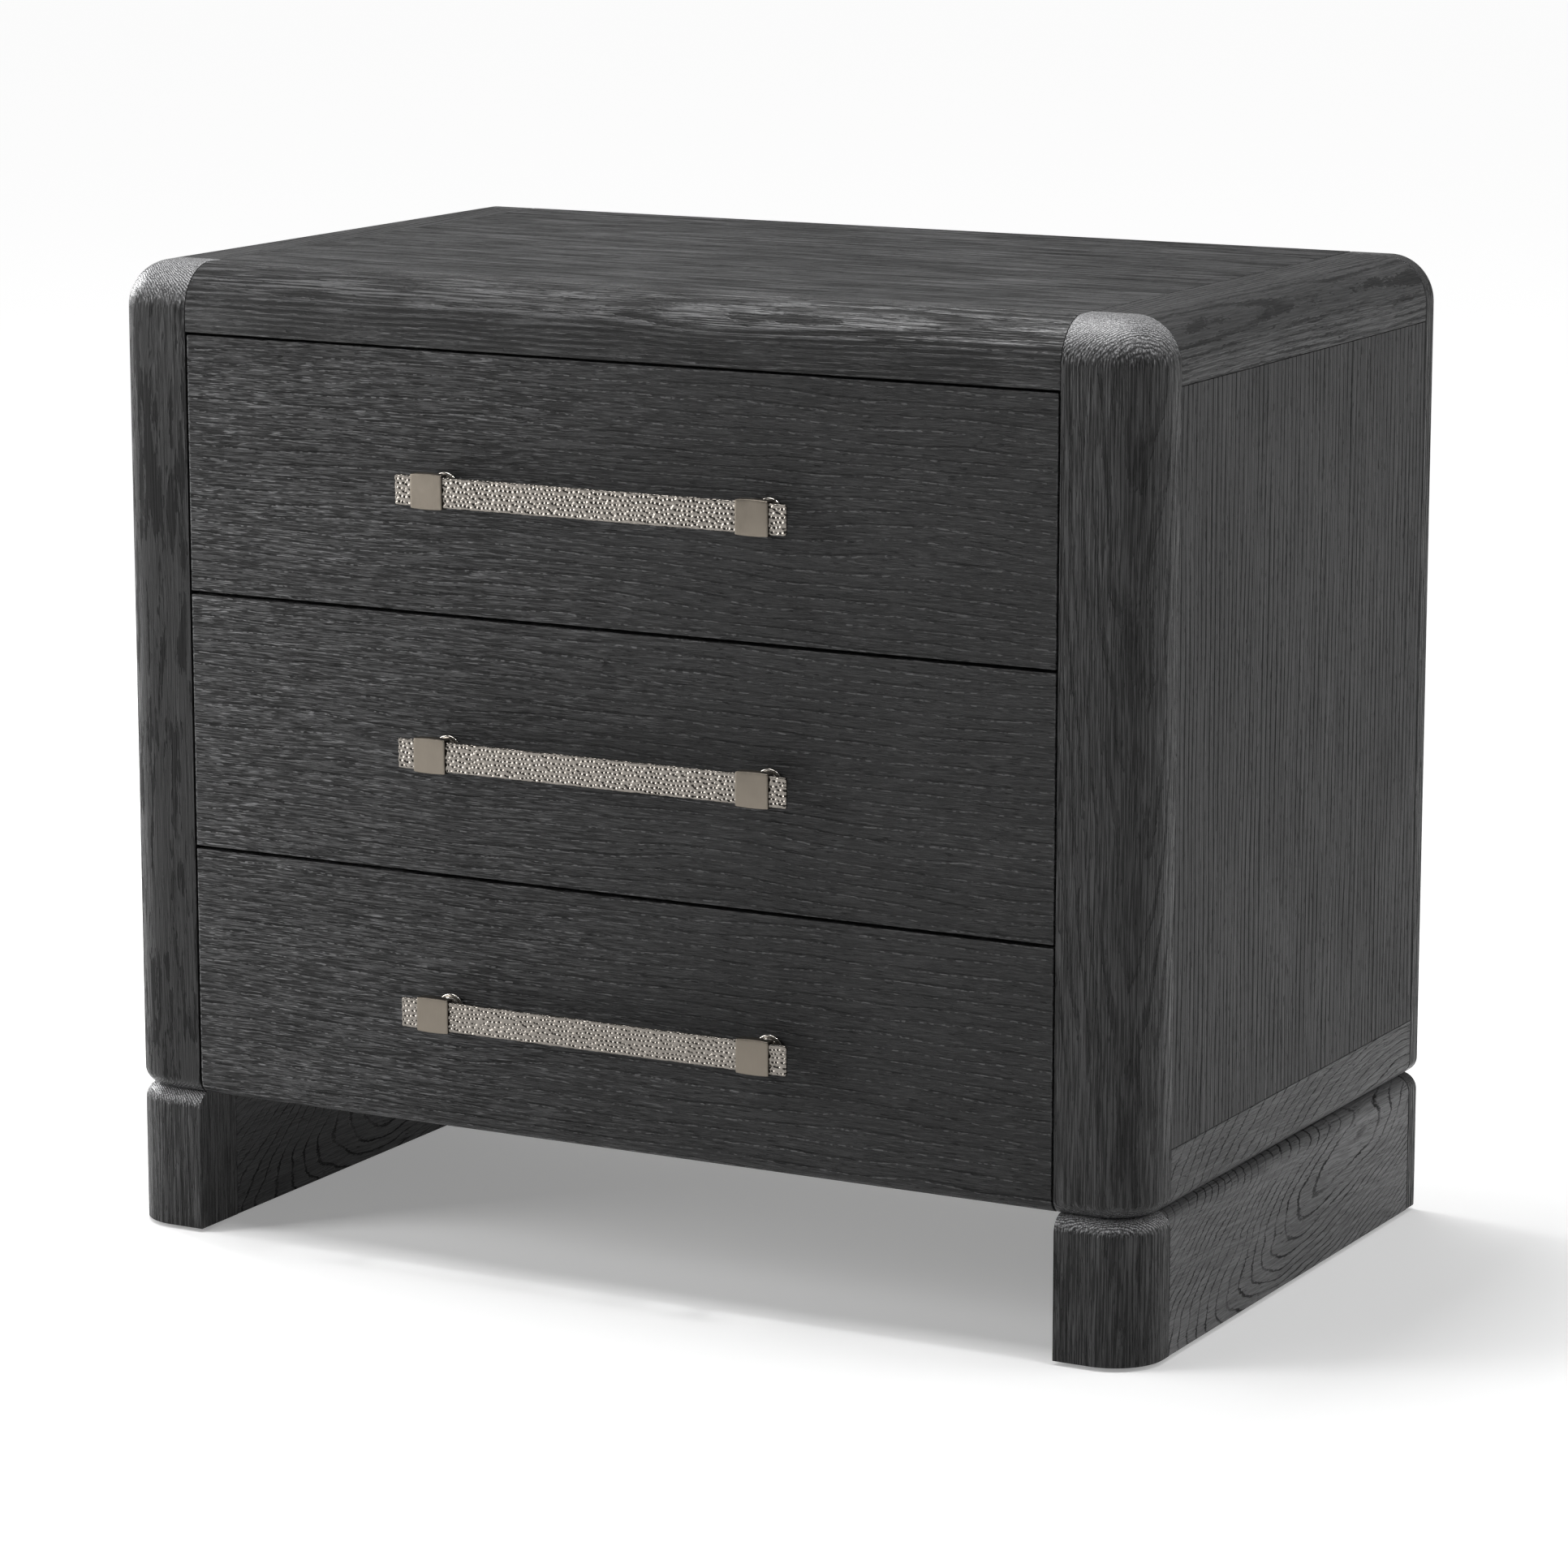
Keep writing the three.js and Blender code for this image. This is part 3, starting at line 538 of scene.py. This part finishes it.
# ------------------------------------------------------------------ case
for side, s in (("left", -1), ("right", 1)):
    n = f"front_{side}_post"
    v, f = corner_piece(s, X_POST, Z_CASE, R_LOW, Z_TOP, R_TOP)
    mesh_object(f"{n}_shape", v, f, M[n], "case", (n,), bevel=0.0006)

    n = f"{side}_base_front_block"
    v, f = corner_piece(s, X_BASE, Z_BASE_LOW, 0.0, Z_BASE_TOP, R_LOW)
    mesh_object(f"{n}_shape", v, f, M[n], "case", (n,), bevel=0.0007)

    top_round = arc(X_OUT - R_TOP, Z_TOP - R_TOP, R_TOP, 0, 90, 28)
    low_round = arc(X_OUT - R_LOW, Z_CASE + R_LOW, R_LOW, -90, 0, 14)
    n = f"{side}_top_rail"
    a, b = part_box(n)
    xi = min(abs(a.x), abs(b.x))
    v, f = extrude_y([(xi, a.z), (X_OUT, a.z)] + top_round + [(xi, Z_TOP)], a.y, b.y, s)
    mesh_object(f"{n}_shape", v, f, M[n], "case", (n,), bevel=0.0004)

    n = f"{side}_bottom_rail"
    a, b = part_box(n)
    xi = min(abs(a.x), abs(b.x))
    v, f = extrude_y([(xi, Z_CASE)] + low_round + [(X_OUT, b.z), (xi, b.z)], a.y, b.y, s)
    mesh_object(f"{n}_shape", v, f, M[n], "case", (n,), bevel=0.0004)

    n = f"back_{side}_post"
    a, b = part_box(n)
    v, f = extrude_y([(X_POST, Z_CASE)] + low_round + top_round + [(X_POST, Z_TOP)], a.y, b.y, s)
    mesh_object(f"{n}_shape", v, f, M[n], "case", (n,), bevel=0.0012, segments=3)

    base_round = arc(X_OUT - R_LOW, Z_BASE_TOP - R_LOW, R_LOW, 0, 90, 14)
    for part in ("board", "back_block"):
        n = f"{side}_base_{part}"
        a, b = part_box(n)
        v, f = extrude_y([(X_BASE, Z_BASE_LOW), (X_OUT, Z_BASE_LOW)] + base_round + [(X_BASE, Z_BASE_TOP)], a.y, b.y, s)
        mesh_object(f"{n}_shape", v, f, M[n], "case", (n,), bevel=0.0012 if part == "back_block" else 0.0005)

    n = f"{side}_side_panel"
    a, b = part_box(n)
    v, f = box_mesh(a, b)
    mesh_object(f"{n}_shape", v, f, M[n], "case", (n,), bevel=0.0003)

a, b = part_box("front_top_rail")
v, f = extrude_x([(a.y, a.z), (b.y, a.z), (b.y, Z_TOP)] + arc(a.y + R_TOP, Z_TOP - R_TOP, R_TOP, 90, 180, 28), a.x, b.x)
mesh_object("front_top_rail_shape", v, f, M["front_top_rail"], "case", ("front_top_rail",), bevel=0.0005)

a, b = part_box("top_panel")
v, f = box_mesh(a, b)
mesh_object("top_panel_shape", v, f, M["top_panel"], "case", ("top_panel",), bevel=0.0004)

# ------------------------------------------------------------------ drawer fronts
for lv in ("bottom", "middle", "top"):
    n = f"{lv}_drawer_front"
    a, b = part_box(n)
    if lv == "bottom":
        prof = [(b.y, a.z), (b.y, b.z), (a.y, b.z)] + arc(a.y + R_LOW, a.z + R_LOW, R_LOW, 180, 270, 14)
    else:
        prof = [(a.y, a.z), (b.y, a.z), (b.y, b.z), (a.y, b.z)]
    v, f = extrude_x(prof, a.x, b.x)
    mesh_object(f"{n}_shape", v, f, M[n], f"{lv}_drawer", (n,), bevel=0.0007)


# ------------------------------------------------------------------ pulls
def rounded_section(hy, hz, r, nz, ny, nr):
    """Closed (y, z) loop of a rounded rectangle, anticlockwise seen from +X, starting at the front face's lower end."""
    pts = []
    front = [(-hy, z) for z in np.linspace(hz - r, -hz + r, nz)]
    pts += front
    pts += [(-hy + r + r * math.cos(a), -hz + r + r * math.sin(a)) for a in np.linspace(math.pi, 1.5 * math.pi, nr + 2)[1:-1]]
    pts += [(y, -hz) for y in np.linspace(-hy + r, hy - r, ny)]
    pts += [(hy - r + r * math.cos(a), -hz + r + r * math.sin(a)) for a in np.linspace(1.5 * math.pi, 2 * math.pi, nr + 2)[1:-1]]
    pts += [(hy, z) for z in np.linspace(-hz + r, hz - r, max(nz // 3, 4))]
    pts += [(hy - r + r * math.cos(a), hz - r + r * math.sin(a)) for a in np.linspace(0, 0.5 * math.pi, nr + 2)[1:-1]]
    pts += [(y, hz) for y in np.linspace(hy - r, -hy + r, ny)]
    pts += [(-hy + r + r * math.cos(a), hz - r + r * math.sin(a)) for a in np.linspace(0.5 * math.pi, math.pi, nr + 2)[1:-1]]
    return np.array(pts)


def hammer(px, pz, pts, stretch):
    """Depth of overlapping round hammer marks: 0 on the ridges between marks, -1 at a mark's middle."""
    best = np.full(px.shape, 1e9)
    step = 4000
    for i in range(0, len(px), step):
        dx = (px[i:i + step, None] - pts[None, :, 0]) / stretch[None, :, 0]
        dz = (pz[i:i + step, None] - pts[None, :, 1]) / stretch[None, :, 1]
        best[i:i + step] = (dx * dx + dz * dz).min(1)
    d = np.minimum(best, 1.0)
    return -(1.0 - d) ** 1.5


def strap_mesh(a, b, seed):
    g = np.random.default_rng(seed)
    cx, cy, cz = [(a[i] + b[i]) / 2 * 1000 for i in range(3)]
    hx, hy, hz = [(b[i] - a[i]) / 2 * 1000 for i in range(3)]
    hx, hy, hz = hx - 0.1, hy - 0.05, hz - 0.15
    sec = rounded_section(hy, hz, 0.9, 52, 4, 3)
    xs = np.linspace(-hx, hx, int(2 * hx / 0.42))
    rc = 1.4
    X, Yv, Z = [], [], []
    for x in xs:
        d = hx - abs(x)
        shrink = rc - math.sqrt(max(rc * rc - (rc - d) ** 2, 0)) if d < rc else 0.0
        fz = (hz - shrink) / hz
        fy = 1.0 - 0.35 * (1 - min(d / 0.9, 1.0)) ** 2
        X.append(np.full(len(sec), x))
        Yv.append(sec[:, 0] * fy)
        Z.append(sec[:, 1] * fz)
    X, Yv, Z = np.concatenate(X), np.concatenate(Yv), np.concatenate(Z)
    # hammer marks on a loose lattice, on both faces and rolling over the edges
    pitch_x, pitch_z = 3.6, 3.2
    pts = []
    for j, z0 in enumerate(np.arange(-hz - pitch_z, hz + pitch_z * 1.01, pitch_z)):
        for x0 in np.arange(-hx - pitch_x, hx + pitch_x, pitch_x):
            pts.append((x0 + (j % 2) * pitch_x / 2 + g.uniform(-1.0, 1.0), z0 + g.uniform(-0.9, 0.9)))
    pts = np.array(pts)
    stretch = np.stack([g.uniform(1.9, 2.3, len(pts)), g.uniform(1.6, 1.95, len(pts))], 1)
    h = hammer(X, Z, pts, stretch)
    depth = 0.56
    front = np.clip(-Yv / hy, -1, 1)
    Yv = Yv - front * h * depth * (np.abs(front) > 0.15)
    # the beaten edge wanders in and out
    edge = np.clip((np.abs(Z) - (hz - 1.2)) / 1.2, 0, 1)
    wob = np.interp(X, np.linspace(-hx, hx, 90), g.uniform(-0.28, 0.05, 90))
    wob2 = np.interp(X, np.linspace(-hx, hx, 90), g.uniform(-0.28, 0.05, 90))
    Z = Z + edge * np.sign(Z) * np.where(Z > 0, wob, wob2)
    verts = np.stack([X + cx, Yv + cy, Z + cz], 1) / 1000.0
    n = len(sec)
    faces = []
    for k in range(len(xs) - 1):
        p, q = k * n, (k + 1) * n
        for i in range(n):
            j = (i + 1) % n
            faces.append((p + i, p + j, q + j, q + i))
    faces.append(tuple(reversed(range(n))))
    faces.append(tuple(range((len(xs) - 1) * n, len(xs) * n)))
    return verts, faces


def collar_mesh(cx, cz, y_face):
    """Sleeve with softly pillowed outside and the strap's slot through it."""
    hw, hh, dp = 12.65, 12.5, 8.0
    stations = [0.0, 0.12, 0.35, 0.7] + list(np.linspace(1.4, 2 * hw - 1.4, 13)) + [2 * hw - 0.7, 2 * hw - 0.35, 2 * hw - 0.12, 2 * hw]
    outer, inner = [], []
    slot_hy, slot_hz = 1.75, 11.15
    slot_y = -25.3 + 1.5
    for st in stations:
        x = st - hw
        d = min(st, 2 * hw - st)
        e = 0.7 - math.sqrt(max(0.49 - (0.7 - min(d, 0.7)) ** 2, 0.0))
        bow = 0.55 * (1 - (x / hw) ** 2) - 0.55
        h = hh + bow - e
        sec = rounded_section(dp / 2 - e, h, 0.8, 16, 8, 4)
        ys = sec[:, 0] + (-26.6 + dp / 2)
        # slight crown on the front face
        crown = np.where(sec[:, 0] < -dp / 2 + 1.2, 0.35 * (1 - (sec[:, 1] / hh) ** 2) - 0.35, 0.0)
        outer.append([(cx + x, y_face + yy - c, cz + zz) for yy, zz, c in zip(ys, sec[:, 1], crown)])
        isec = rounded_section(slot_hy, slot_hz, 0.6, 16, 8, 4)
        inner.append([(cx + x, y_face + slot_y + yy, cz + zz) for yy, zz in isec])
    n = len(outer[0])
    verts = [p for r in outer for p in r] + [p for r in inner for p in r]
    k = len(stations)
    off = k * n
    faces = []
    for s_ in range(k - 1):
        for i in range(n):
            j = (i + 1) % n
            faces.append((s_ * n + i, s_ * n + j, (s_ + 1) * n + j, (s_ + 1) * n + i))
            faces.append((off + s_ * n + j, off + s_ * n + i, off + (s_ + 1) * n + i, off + (s_ + 1) * n + j))
    for i in range(n):
        j = (i + 1) % n
        faces.append((j, i, off + i, off + j))
        last = (k - 1) * n
        faces.append((last + i, last + j, off + last + j, off + last + i))
    return np.array(verts) / 1000.0, faces


def turned(profile, cx, cz, y_face, seg=56):
    """Turned piece about the Y axis. profile: (radius, distance out from the drawer face), from axis to axis."""
    verts, faces, rings = [], [], []
    for r, d in profile:
        if r < 1e-6:
            rings.append([len(verts)])
            verts.append((cx, y_face - d, cz))
        else:
            rings.append(list(range(len(verts), len(verts) + seg)))
            for i in range(seg):
                a = 2 * math.pi * i / seg
                verts.append((cx + r * math.cos(a), y_face - d, cz + r * math.sin(a)))
    for p, q in zip(rings[:-1], rings[1:]):
        for i in range(seg):
            j = (i + 1) % seg
            if len(p) == 1:
                faces.append((p[0], q[i], q[j]))
            elif len(q) == 1:
                faces.append((p[j], p[i], q[0]))
            else:
                faces.append((p[j], p[i], q[i], q[j]))
    return np.array(verts) / 1000.0, faces


ROSETTE = ([(0.0, 0.35), (10.3, 0.35), (10.75, 0.6), (10.9, 1.1), (10.8, 1.7), (10.4, 2.15), (9.9, 2.25), (9.35, 2.1), (9.0, 1.75),
            (8.75, 1.7), (8.6, 1.9), (8.55, 2.7), (8.35, 3.2), (7.9, 3.45), (7.2, 3.55), (6.2, 3.7), (5.4, 4.1), (4.8, 4.9), (4.55, 6.0), (4.5, 8.0),
            (4.5, 19.2), (0.0, 19.2)])

for k, lv in enumerate(("bottom", "middle", "top")):
    a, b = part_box(f"{lv}_pull_strap")
    v, f = strap_mesh(a, b, 100 + k)
    mesh_object(f"{lv}_strap_hammered", v, f, STRAP, f"{lv}_drawer", (f"{lv}_pull_strap",))
    for side in ("left", "right"):
        n = f"{lv}_pull_{side}_post"
        a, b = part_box(n)
        cx, cz = (a.x + b.x) / 2 * 1000, (a.z + b.z) / 2 * 1000
        v, f = collar_mesh(cx, cz, Y_FRONT * 1000)
        mesh_object(f"{lv}_{side}_collar", v, f, COLLAR, f"{lv}_drawer", (n,))
        v, f = turned(ROSETTE, cx, cz, Y_FRONT * 1000)
        mesh_object(f"{lv}_{side}_rosette", v, f, ROSE, f"{lv}_drawer", (n,))

# ------------------------------------------------------------------ carried-over CAD nodes
for n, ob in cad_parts.items():
    if "slide" in n:
        mat, width = STEEL, 0.0002
    elif "glide" in n:
        mat, width = NYLON, 0.0002
    elif n.endswith(("left_side", "right_side")):
        mat, width = BOX_Y, 0.0012
    elif n.endswith("drawer_back"):
        mat, width = BOX_X, 0.0012
    elif n.endswith("drawer_bottom") or n in ("back_panel", "bottom_panel"):
        mat, width = PLY, 0.0004
    else:
        continue
    ob.data.materials.clear()
    ob.data.materials.append(mat)
    m = ob.modifiers.new("weld", "WELD")
    m.merge_threshold = 0.00002
    m = ob.modifiers.new("edges", "BEVEL")
    m.width, m.segments, m.limit_method, m.angle_limit = width, 2, "ANGLE", math.radians(40)
    m.use_clamp_overlap = True
